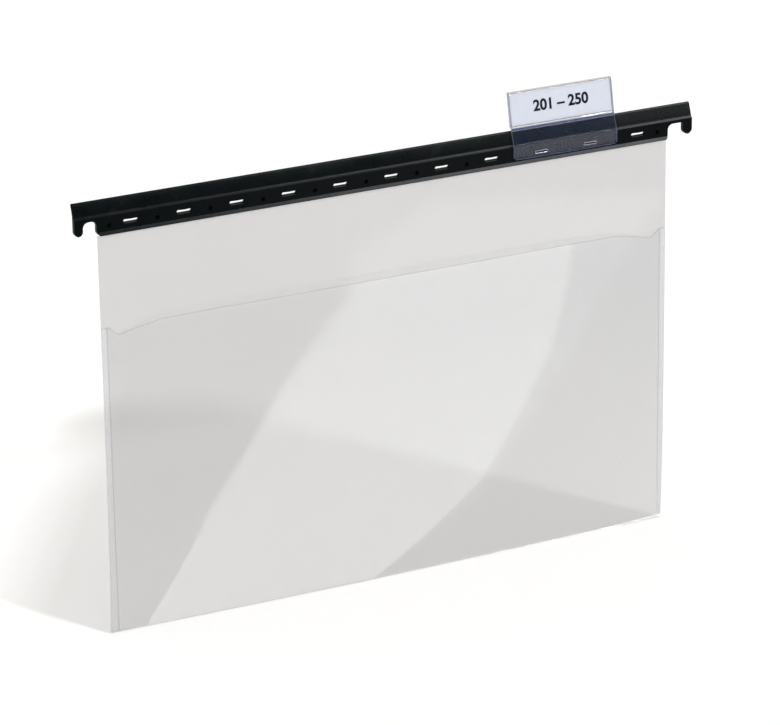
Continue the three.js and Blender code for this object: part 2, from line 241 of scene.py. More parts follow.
def prism(name, outline, axis, low, high):
    """A closed bar of that outline in millimetres, (y, z) along X or (x, z) along Y."""
    shape = bmesh.new()
    if axis == "X":
        corners, run = [(low, a, b) for a, b in outline], (high - low, 0, 0)
    else:
        corners, run = [(a, low, b) for a, b in outline], (0, high - low, 0)
    face = shape.faces.new([shape.verts.new(Vector(corner) * mm) for corner in corners])
    pushed = bmesh.ops.extrude_face_region(shape, geom=[face])["geom"]
    far_end = [v for v in pushed if isinstance(v, bmesh.types.BMVert)]
    bmesh.ops.translate(shape, verts=far_end, vec=Vector(run) * mm)
    bmesh.ops.recalc_face_normals(shape, faces=shape.faces)
    mesh = bpy.data.meshes.new(name)
    shape.to_mesh(mesh)
    shape.free()
    return link(name, mesh)


def bake_modifiers(piece):
    """Turns what the modifiers show into the piece's own mesh."""
    shown = piece.evaluated_get(bpy.context.evaluated_depsgraph_get())
    made = bpy.data.meshes.new_from_object(shown, preserve_all_data_layers=True,
                                           depsgraph=bpy.context.evaluated_depsgraph_get())
    piece.modifiers.clear()
    piece.data = made


def combine(piece, tool, operation):
    """Cuts, adds or keeps what is common with the tool, which is then gone."""
    modifier = piece.modifiers.new("combine", "BOOLEAN")
    modifier.object, modifier.operation, modifier.solver = tool, operation, "EXACT"
    bake_modifiers(piece)
    bpy.data.objects.remove(tool)


def ease_edges(piece, width, segments=2, angle=30):
    """Rounds the moulded edges and keeps the flat faces flat in shading."""
    bevel = piece.modifiers.new("edges", "BEVEL")
    bevel.width, bevel.segments = width * mm, segments
    bevel.limit_method, bevel.angle_limit = "ANGLE", math.radians(angle)
    bevel.miter_outer = "MITER_ARC"
    bake_modifiers(piece)
    shade_flats(piece)


def shade_flats(piece):
    """Shades rounded edges smooth while the faces they join stay flat."""
    piece.data.shade_smooth()
    piece.data.set_sharp_from_angle(angle=math.radians(50))
    piece.modifiers.new("shading", "WEIGHTED_NORMAL").keep_sharp = True
    bake_modifiers(piece)


class Wire:
    """A value in a node tree. Arithmetic between wires adds the math nodes for it."""

    def __init__(self, tree, socket):
        self.tree, self.socket = tree, socket

    def math(self, operation, *others):
        node = self.tree.nodes.new("ShaderNodeMath")
        node.operation = operation
        for socket, value in zip(node.inputs, (self, *others)):
            if isinstance(value, Wire):
                self.tree.links.new(value.socket, socket)
            else:
                socket.default_value = value
        return Wire(self.tree, node.outputs[0])

    def __add__(self, other):
        return self.math("ADD", other)

    def __sub__(self, other):
        return self.math("SUBTRACT", other)

    def __mul__(self, other):
        return self.math("MULTIPLY", other)

    def __truediv__(self, other):
        return self.math("DIVIDE", other)

    def __pow__(self, other):
        return self.math("POWER", other)

    def between_0_and_1(self):
        return self.math("MAXIMUM", 0.0).math("MINIMUM", 1.0)


class Tree:
    """A geometry node tree with named inputs, which ends by setting one material."""

    def __init__(self, name, **inputs):
        self.tree = bpy.data.node_groups.new(name, "GeometryNodeTree")
        self.tree.interface.new_socket("Geometry", in_out="INPUT", socket_type="NodeSocketGeometry")
        for label, kind in inputs.items():
            self.tree.interface.new_socket(label.replace("_", " "), in_out="INPUT", socket_type=kind)
        self.tree.interface.new_socket("Geometry", in_out="OUTPUT", socket_type="NodeSocketGeometry")
        self.inputs = self.tree.nodes.new("NodeGroupInput").outputs

    def value(self, label):
        return Wire(self.tree, self.inputs[label])

    def node(self, kind, settings=None, **sockets):
        made = self.tree.nodes.new(kind)
        for key, value in (settings or {}).items():
            setattr(made, key, value)
        for label, value in sockets.items():
            socket = made.inputs[label.replace("_", " ")]
            for part in value if isinstance(value, list) else [value]:
                if isinstance(part, Wire):
                    self.tree.links.new(part.socket, socket)
                elif isinstance(part, bpy.types.NodeSocket):
                    self.tree.links.new(part, socket)
                else:
                    socket.default_value = part
        return made

    def vector(self, x=0.0, y=0.0, z=0.0):
        return self.node("ShaderNodeCombineXYZ", X=x, Y=y, Z=z).outputs[0]

    def finish(self, geometry, material):
        realized = self.node("GeometryNodeRealizeInstances", Geometry=geometry)
        painted = self.node("GeometryNodeSetMaterial", Geometry=realized.outputs[0], Material=material)
        self.node("NodeGroupOutput", Geometry=painted.outputs[0])
        return self.tree


def run_tree(piece, tree, values):
    """Runs a geometry node tree on a piece with these inputs and keeps the plain mesh."""
    modifier = piece.modifiers.new(tree.name, "NODES")
    modifier.node_group = tree
    for item in tree.interface.items_tree:
        if item.in_out == "INPUT" and item.name in values:
            modifier[item.identifier] = values[item.name]
    bake_modifiers(piece)


def boolean_node(tree, operation, body, tool):
    """Cuts the tool out of the body, or joins it on."""
    meshes = {"Mesh_1": body, "Mesh_2": tool} if operation == "DIFFERENCE" else {"Mesh_2": [body, tool]}
    settings = {"operation": operation, "solver": "EXACT"}
    return tree.node("GeometryNodeMeshBoolean", settings, **meshes).outputs[0]


def slot_row_tree(material):
    """Cuts a row of rounded slots through a piece, evenly about X = 0."""
    length = "NodeSocketFloat"
    tree = Tree("slot row", Slots="NodeSocketInt", Pitch=length, Width=length, Height=length,
                Corner=length, Below_Seat=length, Reach=length)
    oblong = tree.node("GeometryNodeCurvePrimitiveQuadrilateral", Width=tree.value("Width"),
                       Height=tree.value("Height"))
    eased = tree.node("GeometryNodeFilletCurve", {"mode": "POLY"}, Curve=oblong.outputs[0], Count=6,
                      Radius=tree.value("Corner"))
    near = tree.node("GeometryNodeFillCurve", {"mode": "NGONS"}, Curve=eased.outputs[0])
    pushed = tree.node("GeometryNodeExtrudeMesh", Mesh=near.outputs[0],
                       Offset_Scale=tree.value("Reach") * 2, Individual=False)
    closed = tree.node("GeometryNodeJoinGeometry", Geometry=[
        pushed.outputs[0], tree.node("GeometryNodeFlipFaces", Mesh=near.outputs[0]).outputs[0]])
    cutter = tree.node("GeometryNodeTransform", Translation=tree.vector(y=tree.value("Reach")),
                       Rotation=(math.pi / 2, 0, 0), Geometry=tree.node(
                           "GeometryNodeMergeByDistance", Geometry=closed.outputs[0]).outputs[0])
    start = (tree.value("Slots") - 1) * tree.value("Pitch") * -0.5
    places = tree.node("GeometryNodeMeshLine", Count=tree.value("Slots"),
                       Start_Location=tree.vector(start, 0.0, tree.value("Below Seat") * -1),
                       Offset=tree.vector(tree.value("Pitch")))
    row = tree.node("GeometryNodeInstanceOnPoints", Points=places.outputs[0], Instance=cutter.outputs[0])
    cut = boolean_node(tree, "DIFFERENCE", tree.inputs["Geometry"],
                       tree.node("GeometryNodeRealizeInstances", Geometry=row.outputs[0]).outputs[0])
    return tree.finish(cut, material)


def stud_row_tree(name, operation, material):
    """Round bars along Y between the slots and at both ends, cut out of a piece or joined to it."""
    length = "NodeSocketFloat"
    tree = Tree(name, Slots="NodeSocketInt", Pitch=length, End=length, Radius=length, Below_Seat=length,
                Front=length, Back=length)
    bar = tree.node("GeometryNodeMeshCylinder", Vertices=40, Radius=tree.value("Radius"),
                    Depth=tree.value("Back") - tree.value("Front"))
    middle = (tree.value("Back") + tree.value("Front")) * 0.5
    stud = tree.node("GeometryNodeTransform", Geometry=bar.outputs[0], Rotation=(math.pi / 2, 0, 0),
                     Translation=tree.vector(y=middle))
    drop = tree.value("Below Seat") * -1
    start = (tree.value("Slots") - 2) * tree.value("Pitch") * -0.5
    between = tree.node("GeometryNodeMeshLine", Count=tree.value("Slots") - 1,
                        Start_Location=tree.vector(start, 0.0, drop),
                        Offset=tree.vector(tree.value("Pitch")))
    ends = tree.node("GeometryNodeMeshLine", Count=2, Offset=tree.vector(tree.value("End") * 2),
                     Start_Location=tree.vector(tree.value("End") * -1, 0.0, drop))
    places = tree.node("GeometryNodeJoinGeometry", Geometry=[between.outputs[0], ends.outputs[0]])
    row = tree.node("GeometryNodeInstanceOnPoints", Points=places.outputs[0], Instance=stud.outputs[0])
    made = boolean_node(tree, operation, tree.inputs["Geometry"],
                        tree.node("GeometryNodeRealizeInstances", Geometry=row.outputs[0]).outputs[0])
    return tree.finish(made, material)


def surface_marks():
    """Fine moulded grain and the faint cloudiness that handling leaves, for plastic and paper alike."""
    group = bpy.data.node_groups.new("surface marks", "ShaderNodeTree")
    for label, usual in (("Grain Size", 0.3 * mm), ("Cloud Size", 20 * mm)):
        socket = group.interface.new_socket(label, in_out="INPUT", socket_type="NodeSocketFloat")
        socket.default_value = usual
    for label in ("Grain", "Cloud"):
        group.interface.new_socket(label, in_out="OUTPUT", socket_type="NodeSocketFloat")
    given, result = group.nodes.new("NodeGroupInput"), group.nodes.new("NodeGroupOutput")
    place = group.nodes.new("ShaderNodeTexCoord")
    for label, size, detail in (("Grain", "Grain Size", 3), ("Cloud", "Cloud Size", 4)):
        noise = group.nodes.new("ShaderNodeTexNoise")
        noise.inputs["Detail"].default_value = detail
        group.links.new(place.outputs["Object"], noise.inputs["Vector"])
        scale = Wire(group, given.outputs[size]) ** -1.0
        group.links.new(scale.socket, noise.inputs["Scale"])
        group.links.new(noise.outputs["Fac"], result.inputs[label])
    return group


marks = surface_marks()


def new_material(name, grain_size, cloud_size):
    """A Principled material with the shared surface marks placed in it."""
    material = bpy.data.materials.new(name)
    material.use_nodes = True
    tree = material.node_tree
    texture = tree.nodes.new("ShaderNodeGroup")
    texture.node_tree = marks
    texture.inputs["Grain Size"].default_value = grain_size * mm
    texture.inputs["Cloud Size"].default_value = cloud_size * mm
    return material, tree, tree.nodes["Principled BSDF"], texture


def ranged(tree, value, low, high, source=(0.3, 0.7)):
    """Stretches a mask to run from low to high."""
    node = tree.nodes.new("ShaderNodeMapRange")
    tree.links.new(value, node.inputs["Value"])
    for label, number in zip(("From Min", "From Max", "To Min", "To Max"), (*source, low, high)):
        node.inputs[label].default_value = number
    return node.outputs["Result"]


def mixed(tree, share, first, second):
    """A colour between two colours or wires by a mask."""
    node = tree.nodes.new("ShaderNodeMix")
    node.data_type = "RGBA"
    tree.links.new(share, node.inputs["Factor"])
    for socket, value in ((node.inputs[6], first), (node.inputs[7], second)):
        if isinstance(value, tuple):
            socket.default_value = (*value, 1)
        else:
            tree.links.new(value, socket)
    return node.outputs[2]


def bumped(tree, surface, height, distance, strength=1.0):
    """Feeds a height into the surface's normal."""
    node = tree.nodes.new("ShaderNodeBump")
    node.inputs["Distance"].default_value = distance * mm
    node.inputs["Strength"].default_value = strength
    tree.links.new(height, node.inputs["Height"])
    tree.links.new(node.outputs["Normal"], surface.inputs["Normal"])


def black_plastic():
    """Satin black styrene: fine grain, a few cloudy patches where hands have been."""
    material, tree, surface, texture = new_material("black_plastic", 0.25, 16)
    cloud = ranged(tree, texture.outputs["Cloud"], 0, 1)
    color = mixed(tree, cloud, (0.0004, 0.0014, 0.0018), (0.0012, 0.0022, 0.0026))
    tree.links.new(color, surface.inputs["Base Color"])
    tree.links.new(ranged(tree, texture.outputs["Cloud"], 0.22, 0.28), surface.inputs["Roughness"])
    surface.inputs["Specular IOR Level"].default_value = 0.05
    bumped(tree, surface, texture.outputs["Grain"], 0.02, 0.5)
    return material


def rail_section():
    """The front half seen from its end, in (y, z): round the lip, up the flange, back over the band."""
    lip_front, lip_top = front_face - lip_proud, -seat_to_bottom + lip_depth
    sweep_top, band_front = step_height + sweep_rise, front_face + band_setback
    section = [(rear_face, -seat_to_bottom), (lip_front + lip_round, -seat_to_bottom)]
    for t in np.linspace(0.2, math.pi / 2, 6):
        section.append((lip_front + lip_round * (1 - math.sin(t)),
                        -seat_to_bottom + lip_round * (1 - math.cos(t))))
    section += [(front_face - 0.05, lip_top - 0.15), (front_face, lip_top),
                (front_face, step_height - 0.12)]
    for t in np.linspace(0.12, 1, 8):
        section.append((front_face + sweep_setback * (1.2 * t * (1 - t) + t * t),
                        step_height + sweep_rise * t * t))
    section += [(band_front, seat_to_top - band_bevel), (band_front + band_bevel, seat_to_top),
                (band_front + band_thickness, seat_to_top)]
    section += [(max(front_face + sweep_setback + band_thickness, rear_face), sweep_top),
                (rear_face, sweep_top - band_thickness)]
    return section


left_outer, right_outer = -half_body - left_notch, half_body + right_notch
left_end, right_end = left_outer - left_prong, right_outer + right_prong
rail_outline = rounded([
    (left_end, seat_to_top, end_round), (left_end, -prong_drop, left_prong / 2),
    (left_outer, -prong_drop, left_prong / 2), (left_outer, 0, notch_round), (-half_body, 0, notch_round),
    (-half_body, -seat_to_bottom, rail_corner), (half_body, -seat_to_bottom, rail_corner),
    (half_body, 0, notch_round), (right_outer, 0, end_round), (right_outer, -prong_drop, right_prong / 2),
    (right_end, -prong_drop, right_prong / 2), (right_end, seat_to_top, end_round)])
rebate_top, rebate_half = strip_top + clearance, strip_half + clearance
rebate = [(-film_thickness / 2, -far), (far, -far), (far, rebate_top), (-film_thickness / 2, rebate_top)]

rail_black = black_plastic()
slots_tree = slot_row_tree(rail_black)
rail = prism("hanger_rail", rail_section(), "X", left_end, right_end)
combine(rail, prism("outline", rail_outline, "Y", -far, far), "INTERSECT")
combine(rail, prism("rebate", rebate, "X", -rebate_half, rebate_half), "DIFFERENCE")
run_tree(rail, slots_tree, {**slot_row, **slot_size, "Reach": far * mm})
run_tree(rail, stud_row_tree("stud holes", "DIFFERENCE", rail_black),
         {**stud_sizes, "Radius": (stud_radius + clearance) * mm, "Front": -far * mm, "Back": far * mm})
ease_edges(rail, 0.16)
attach(rail, "pocket")
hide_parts("rail_front")

# Hanger rail, back strip
# A flat black strip that lies behind the film and closes the rail. Its moulded studs pass through the
# film into the front half's round holes, where they are pressed home for good.
strip_slots = {"Width": 9.2 * mm, "Height": 1.95 * mm, "Below Seat": 2.43 * mm}
stud_recess, dimple_radius, dimple_depth = 0.35, 0.75, 1.25
back_strip = prism("hanger_back_strip", [
    (film_thickness / 2, -seat_to_bottom), (rear_face, -seat_to_bottom),
    (rear_face, strip_top), (film_thickness / 2, strip_top)], "X", -strip_half, strip_half)
run_tree(back_strip, slots_tree, {**slot_row, **slot_size, **strip_slots, "Reach": far * mm})
run_tree(back_strip, stud_row_tree("studs", "UNION", rail_black),
         {**stud_sizes, "Radius": stud_radius * mm, "Front": (front_face + stud_recess) * mm,
          "Back": (film_thickness + strip_thickness) / 2 * mm})
run_tree(back_strip, stud_row_tree("stud dimples", "DIFFERENCE", rail_black),
         {**stud_sizes, "Radius": dimple_radius * mm, "Front": -far * mm,
          "Back": (front_face + dimple_depth) * mm})
ease_edges(back_strip, 0.12)
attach(back_strip, "pocket")
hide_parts("rail_back")

# Film pocket
# One sheet of clear 0.3 mm film. Its top edge is clamped in the rail, it hangs down as the back panel,
# turns up at the fold as the lower front panel, and is welded to itself along both sides.
film_half, film_drop, panel_height = 160.0, 212.0, 165.4
fold_line = -seat_to_bottom - film_drop
mouth_height = fold_line + panel_height
weld_width, ear_width, ear_drop = 3.0, 4.0, 1.8
dip_from_side, dip_depth, shoulder_width = 9.0, 6.1, 32.0
film_slot_half, film_slot_reach = slot_size["Width"] / mm / 2 + 0.6, 1.55
film_hole = stud_radius + clearance
fold_lift, fold_zone, fold_rows, turn_rows = 0.33, 12, 18, 13
lost_in_turn, trim_row = 0.45, 0.4
film_sizes = {
    "Half Width": film_half * mm, "Weld Width": weld_width * mm, "Thickness": film_thickness * mm,
    "Mouth": mouth_height * mm, "Fold": fold_line * mm, "Rail": -(seat_to_bottom + clearance) * mm,
    "Mouth Gap": 4.9 * mm, "Belly Gap": 0.5 * mm, "Fold Gap": 0.25 * mm, "Weld Gap": 0.02 * mm,
    "Back Belly": 0.5 * mm, "Fold Bow": 2.8 * mm, "Skew": 1.2 * mm, "Ripple": 0.12 * mm,
    "Bead": 0.75 * mm, "Bead Start": 112 * mm, "Bead Run": 45 * mm, "Bead Height": 1.3 * mm}


def mouth_edge(x):
    """Height of the front panel's top edge: straight, with a dip before the welded ear at each side."""
    from_side = [0, ear_width, dip_from_side, dip_from_side + 0.4 * (shoulder_width - dip_from_side),
                 shoulder_width, 2 * shoulder_width, film_half]
    down = [ear_drop, ear_drop, dip_depth, 0.55 * dip_depth, 0.4 * ear_drop, 0, 0]
    return mouth_height - np.interp(film_half - abs(x), from_side, down)


def film_sheet():
    """The film's flat pattern: columns along X, rows from the clamped edge round to the mouth."""
    slot_at = -slot_size["Below Seat"] / mm
    pitch, count = slot_row["Pitch"] / mm, slot_row["Slots"]
    slot_places = [(i - (count - 1) / 2) * pitch for i in range(count)]
    stud_places = [-stud_end, *(x - pitch / 2 for x in slot_places[1:]), stud_end]
    weld_edge = film_half - weld_width
    by_the_sides = (141.8, 146.5, 149, 151, 153, 155, 158.5,
                    weld_edge - 0.4, weld_edge, strip_half, film_half)
    columns = sorted(set(np.round([
        *np.arange(-156, 157, 4),
        *(side * x for side in (-1, 1) for x in by_the_sides),
        *(x + side * film_slot_half for x in slot_places for side in (-1, 1)),
        *(x + side * film_hole for x in stud_places for side in (-1, 1))], 3).tolist()))
    clamp = [strip_top, slot_at + film_slot_reach, -stud_drop + film_hole, slot_at - film_slot_reach,
             -stud_drop - film_hole, -seat_to_bottom - clearance]
    turn_height = fold_line + film_thickness / 2 + fold_lift
    full_rise = panel_height - lost_in_turn
    hanging = np.linspace(clamp[-1] - 1, turn_height + fold_zone, 66)
    closer = np.linspace(0, 1, fold_rows)[1:]
    rows = [(z, 0.0) for z in [*clamp, *hanging, *(turn_height + fold_zone * (1 - closer) ** 1.5)]]
    rows += [(turn_height, t) for t in np.linspace(0, math.pi, turn_rows)[1:]]
    panel = np.linspace(fold_zone, full_rise - trim_row, 52)[1:]
    rows += [(turn_height + rise, math.pi) for rise in [*fold_zone * closer ** 1.5, *panel, full_rise]]
    points, turns, trims = [], [], []
    for x in columns:
        for z, turn in rows:
            trims.append(float(z == rows[-1][0] and turn == math.pi))
            if turn == math.pi:
                z = turn_height + (z - turn_height) / full_rise * (mouth_edge(x) - turn_height)
            points.append((x * mm, 0, z * mm))
            turns.append(turn)
    faces = []
    for i in range(len(columns) - 1):
        for j in range(len(rows) - 1):
            x, z = (columns[i] + columns[i + 1]) / 2, (rows[j][0] + rows[j + 1][0]) / 2
            clamped = rows[j][1] == 0 and z > clamp[-1]
            over_slot = any(abs(x - place) < film_slot_half for place in slot_places)
            over_hole = any(abs(x - place) < film_hole for place in stud_places)
            in_slot = over_slot and abs(z - slot_at) < film_slot_reach
            in_hole = over_hole and abs(z + stud_drop) < film_hole
            if clamped and (abs(x) > strip_half or in_slot or in_hole):
                continue
            corner = i * len(rows) + j
            faces.append((corner, corner + 1, corner + 1 + len(rows), corner + len(rows)))
    mesh = bpy.data.meshes.new("film")
    mesh.from_pydata(points, [], faces)
    mesh.attributes.new("turn", "FLOAT", "POINT").data.foreach_set("value", turns)
    mesh.attributes.new("trim", "FLOAT", "POINT").data.foreach_set("value", trims)
    sheet = link("film_pocket", mesh)
    loose = bmesh.new()
    loose.from_mesh(mesh)
    bmesh.ops.delete(loose, geom=[v for v in loose.verts if not v.link_faces], context="VERTS")
    loose.to_mesh(mesh)
    loose.free()
    return sheet


def film_tree(material):
    """Gives the flat pattern its form: belly behind, gap in front, round fold, flat welds."""
    tree = Tree("film pocket", **{label.replace(" ", "_"): "NodeSocketFloat" for label in film_sizes})
    size = tree.value
    place = tree.node("ShaderNodeSeparateXYZ", Vector=tree.node("GeometryNodeInputPosition").outputs[0])
    x, z = Wire(tree.tree, place.outputs["X"]), Wire(tree.tree, place.outputs["Z"])
    turn = Wire(tree.tree, tree.node("GeometryNodeInputNamedAttribute", Name="turn").outputs[0])

    hung = ((size("Rail") - z) / (size("Rail") - size("Fold"))).between_0_and_1()
    down = ((size("Mouth") - z) / (size("Mouth") - size("Fold"))).between_0_and_1()
    free = ((size("Rail") - z) / (4 * mm)).between_0_and_1()
    belly = down * (down * -1 + 1) * 4
    across = (x / size("Half Width")) ** 2 * -1 + 1
    back = across * (size("Back Belly") * belly - size("Fold Bow") * hung ** 4)
    noise = tree.node("ShaderNodeTexNoise", Vector=tree.node("GeometryNodeInputPosition").outputs[0],
                      Scale=11.0, Detail=0.0)
    back = back + (Wire(tree.tree, noise.outputs[0]) - 0.5) * size("Ripple") * 2 * across * free
    side = (x.math("ABSOLUTE") / (size("Half Width") - size("Weld Width"))).between_0_and_1()
    opened = side ** 4 * -1 + 1
    mouth_share = (size("Mouth Gap") - size("Fold Gap")) * (down * -1 + 1)
    gap = size("Fold Gap") + mouth_share + size("Belly Gap") * belly
    height = z - size("Fold")
    corner = ((x.math("ABSOLUTE") - size("Bead Start")) / size("Bead Run")).between_0_and_1() ** 1.5
    bead = size("Bead") * corner * (height * -1 / size("Bead Height")).math("EXPONENT")
    spacing = size("Thickness") + size("Weld Gap") + opened * gap + bead
    radius = spacing * 0.5
    y = back - radius + radius * turn.math("COSINE")
    least_radius, rise_fade = 0.3 * mm, 4 * mm
    raised = (radius - least_radius) * (height / -rise_fade).math("EXPONENT").math("MINIMUM", 1.0)
    sunk = z + raised - radius * turn.math("SINE")
    skewed = x - size("Skew") * hung ** 6
    moved = tree.node("GeometryNodeSetPosition", Geometry=tree.inputs["Geometry"],
                      Position=tree.vector(skewed, y, sunk))
    return tree.finish(moved.outputs[0], material)


def object_place(tree):
    """Where a point of the piece is, as three wires in metres."""
    place, coordinates = tree.nodes.new("ShaderNodeSeparateXYZ"), tree.nodes.new("ShaderNodeTexCoord")
    tree.links.new(coordinates.outputs["Object"], place.inputs["Vector"])
    return [Wire(tree, place.outputs[axis]) for axis in "XYZ"]


def film_material(name, cut_edge=False):
    """Clear polypropylene with a slight milky haze. The back panel hides more than the front one.
    Its welds and cut edge show as lines. Light is painted into it: lighter towards the fold for the
    floor's light, a warm painted shade at the left and a cool painted reflection at the right, and at the
    right corner a painted highlight along the fold with painted shade under it."""
    material, tree, surface, texture = new_material(name, 9, 60)
    x, _, z = object_place(tree)
    turn, trim = tree.nodes.new("ShaderNodeAttribute"), tree.nodes.new("ShaderNodeAttribute")
    turn.attribute_name, trim.attribute_name = "turn", "trim"
    front = (Wire(tree, turn.outputs["Fac"]) / math.pi).math("MINIMUM", 1.0)
    weld_edge, line_inset, line_half, lit_height = film_half - weld_width, 0.2, 0.3, 135
    below_mouth = z.math("LESS_THAN", (mouth_height - ear_drop) * mm)
    weld = x.math("ABSOLUTE").math("GREATER_THAN", weld_edge * mm) * below_mouth
    line = (x.math("ABSOLUTE") - (weld_edge - line_inset) * mm).math("ABSOLUTE")
    line = line.math("LESS_THAN", line_half * mm) * below_mouth
    mark = (line * 0.25).math("MAXIMUM", Wire(tree, trim.outputs["Fac"]))
    cloud = ranged(tree, texture.outputs["Cloud"], 0, 1)
    tint = mixed(tree, cloud, (0.325, 0.32, 0.325), (0.345, 0.335, 0.34))
    # Painted light: the front panel is tinted warm at the left, a painted shade, and cool at the right, a
    # painted reflection.
    painted_side_tint = ranged(tree, x.socket, 0, 1, (-film_half * mm, film_half * mm))
    front_tint = mixed(tree, painted_side_tint, (0.40, 0.39, 0.385), (0.375, 0.38, 0.40))
    tint = mixed(tree, front.socket, tint, front_tint)
    # Painted light: the film is lightened towards the fold, standing for light from the floor.
    painted_floor_light = ranged(tree, z.socket, 0.5, 0.0, (fold_line * mm, (fold_line + lit_height) * mm))
    tint = mixed(tree, painted_floor_light, tint, (0.62, 0.61, 0.60))
    tint = mixed(tree, weld.socket, tint, (0.46, 0.46, 0.47))
    tint = mixed(tree, mark.socket, tint, (0.10, 0.10, 0.14))
    height = (z - fold_line * mm) / mm
    # A painted highlight along the fold near the right corner, and a painted shade line under it.
    fold_highlight_start, fold_highlight_rise, shade_start, shade_height = 112, 0.036, 132, 0.35
    fold_highlight = (((x / mm - fold_highlight_start) * fold_highlight_rise - height) * 3.0).between_0_and_1()
    tint = mixed(tree, fold_highlight.socket, tint, (0.92, 0.92, 0.93))
    # Painted shade under the fold's painted highlight.
    fold_shade = height.math("LESS_THAN", shade_height) * (x / mm).math("GREATER_THAN", shade_start)
    tint = mixed(tree, fold_shade.socket, tint, (0.20, 0.19, 0.19))
    if cut_edge:
        surface.inputs["Base Color"].default_value = (0.38, 0.385, 0.40, 1)
        surface.inputs["Alpha"].default_value = 0.4
        surface.inputs["Specular IOR Level"].default_value = 0.3
    else:
        tree.links.new(tint, surface.inputs["Base Color"])
        alpha = front * -0.23 + 0.36 + mark * 0.3 + fold_highlight * front * 0.6
        tree.links.new(alpha.socket, surface.inputs["Alpha"])
        gloss = front * (mark * -1 + 1) * 0.75 + 0.25
        tree.links.new(gloss.socket, surface.inputs["Specular IOR Level"])
    tree.links.new(ranged(tree, texture.outputs["Cloud"], 0.05, 0.08), surface.inputs["Roughness"])
    surface.inputs["IOR"].default_value = 2.4
    bumped(tree, surface, texture.outputs["Grain"], 0.012, 0.5)
    return material


film = film_sheet()
clear_film = film_material("clear_film")
run_tree(film, film_tree(clear_film), film_sizes)
film.data.materials.clear()
film.data.materials.append(clear_film)
film.data.materials.append(film_material("film_cut_edge", cut_edge=True))
wall = film.modifiers.new("wall", "SOLIDIFY")
wall.thickness, wall.offset, wall.material_offset_rim = film_thickness * mm, 0, 1
bake_modifiers(film)
film.data.shade_smooth()
film.data.set_sharp_from_angle(angle=math.radians(40))
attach(film, "pocket")
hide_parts("pocket_film")

# Index tab
# One clear plastic clip, bent and welded: a plate over the rail with two hollow pegs in two of the
# slots, a lean over the band, and a pocket that leans back and is open at both ends for the label.
tab_middle, tab_half = 99.75, 30.0
plate, plate_drop, plate_corner = 1.0, 5.2, 1.6
pocket_wall, pocket_depth, pocket_lean = 0.5, 1.83, math.radians(10.5)
pocket_rise, roof_rise, pocket_floor = 18.4, 0.9, 1.3
bend_height, knee_height, lean_wall = step_height + clearance, seat_to_top + 0.9, 0.8
knee_rear = front_face + band_setback - clearance / 2
knee_front = knee_rear - lean_wall
plate_front, plate_rear, rim_depth = front_face - plate, front_face - 0.03, 0.12
peg_wall, peg_end_margin, peg_floor, peg_round = 0.45, 0.3, 0.6, 0.6
above_tab = 60


def in_pocket(rise, back):
    """A point of the leaning pocket, in (y, z): up along its front wall and back through it."""
    return (knee_front + rise * math.sin(pocket_lean) + back * math.cos(pocket_lean),
            knee_height + rise * math.cos(pocket_lean) - back * math.sin(pocket_lean))


roof_slope = roof_rise / pocket_depth
wall_up = pocket_wall * math.hypot(1, roof_slope)
tab_left, tab_right = tab_middle - tab_half, tab_middle + tab_half
tab = prism("index_tab", rounded([
    (plate_front, -plate_drop, 0.2), (plate_rear, -plate_drop, 0), (plate_rear, bend_height, 0.5),
    (knee_rear, knee_height, 0.15), (*in_pocket(2 * pocket_wall, pocket_depth), 0.25),
    (*in_pocket(pocket_rise + roof_rise, pocket_depth), 0.15), (*in_pocket(pocket_rise, 0), 0.15),
    (*in_pocket(0, 0), 0.6), (plate_front, bend_height, 1.2)], 4), "X", tab_left, tab_right)
inner = pocket_depth - pocket_wall
combine(tab, prism("card_slot", [
    in_pocket(pocket_floor, pocket_wall), in_pocket(pocket_floor, inner),
    in_pocket(pocket_rise + inner * roof_slope - wall_up, inner),
    in_pocket(pocket_rise + pocket_wall * roof_slope - wall_up, pocket_wall)], "X",
    tab_left - far, tab_right + far), "DIFFERENCE")
combine(tab, prism("tab_outline", rounded([
    (tab_left, -plate_drop, plate_corner), (tab_right, -plate_drop, plate_corner),
    (tab_right, above_tab, 0), (tab_left, above_tab, 0)]), "Y", -far, far), "INTERSECT")


def peg_bar(side, grow, start, end):
    """One of the two pegs' bars, larger all round by grow."""
    peg_x, peg_z = tab_middle + side * slot_row["Pitch"] / mm, -slot_size["Below Seat"] / mm
    w = slot_size["Width"] / mm / 2 - clearance + grow
    h = slot_size["Height"] / mm / 2 - clearance + grow
    corners = [(peg_x + x * w, peg_z + z * h, h * peg_round)
               for x, z in ((-1, -1), (1, -1), (1, 1), (-1, 1))]
    return prism("peg", rounded(corners), "Y", start, end)


peg_end = rear_face - peg_end_margin
for side in (-0.5, 0.5):
    combine(tab, peg_bar(side, 0, plate_front + plate / 2, peg_end), "UNION")
    combine(tab, peg_bar(side, -peg_wall, plate_front - far, peg_end - peg_floor), "DIFFERENCE")
ease_edges(tab, 0.08)
for side in (-0.5, 0.5):
    combine(tab, peg_bar(side, 0, plate_front - far, plate_front + rim_depth), "DIFFERENCE")
shade_flats(tab)


def clear_plastic(name, color, alpha, roughness, gloss):
    """Clear hard plastic: its faces mostly reflect, and its cut edges gather the light."""
    material, tree, surface, texture = new_material(name, 7, 9)
    shade = tuple(0.9 * c for c in color)
    cloud = texture.outputs["Cloud"]
    tree.links.new(mixed(tree, ranged(tree, cloud, 0, 1), color, shade), surface.inputs["Base Color"])
    tree.links.new(ranged(tree, cloud, roughness, roughness + 0.02), surface.inputs["Roughness"])
    surface.inputs["Alpha"].default_value = alpha
    surface.inputs["IOR"].default_value = 2.4
    surface.inputs["Specular IOR Level"].default_value = gloss
    bumped(tree, surface, texture.outputs["Grain"], 0.003, 0.3)
    return material


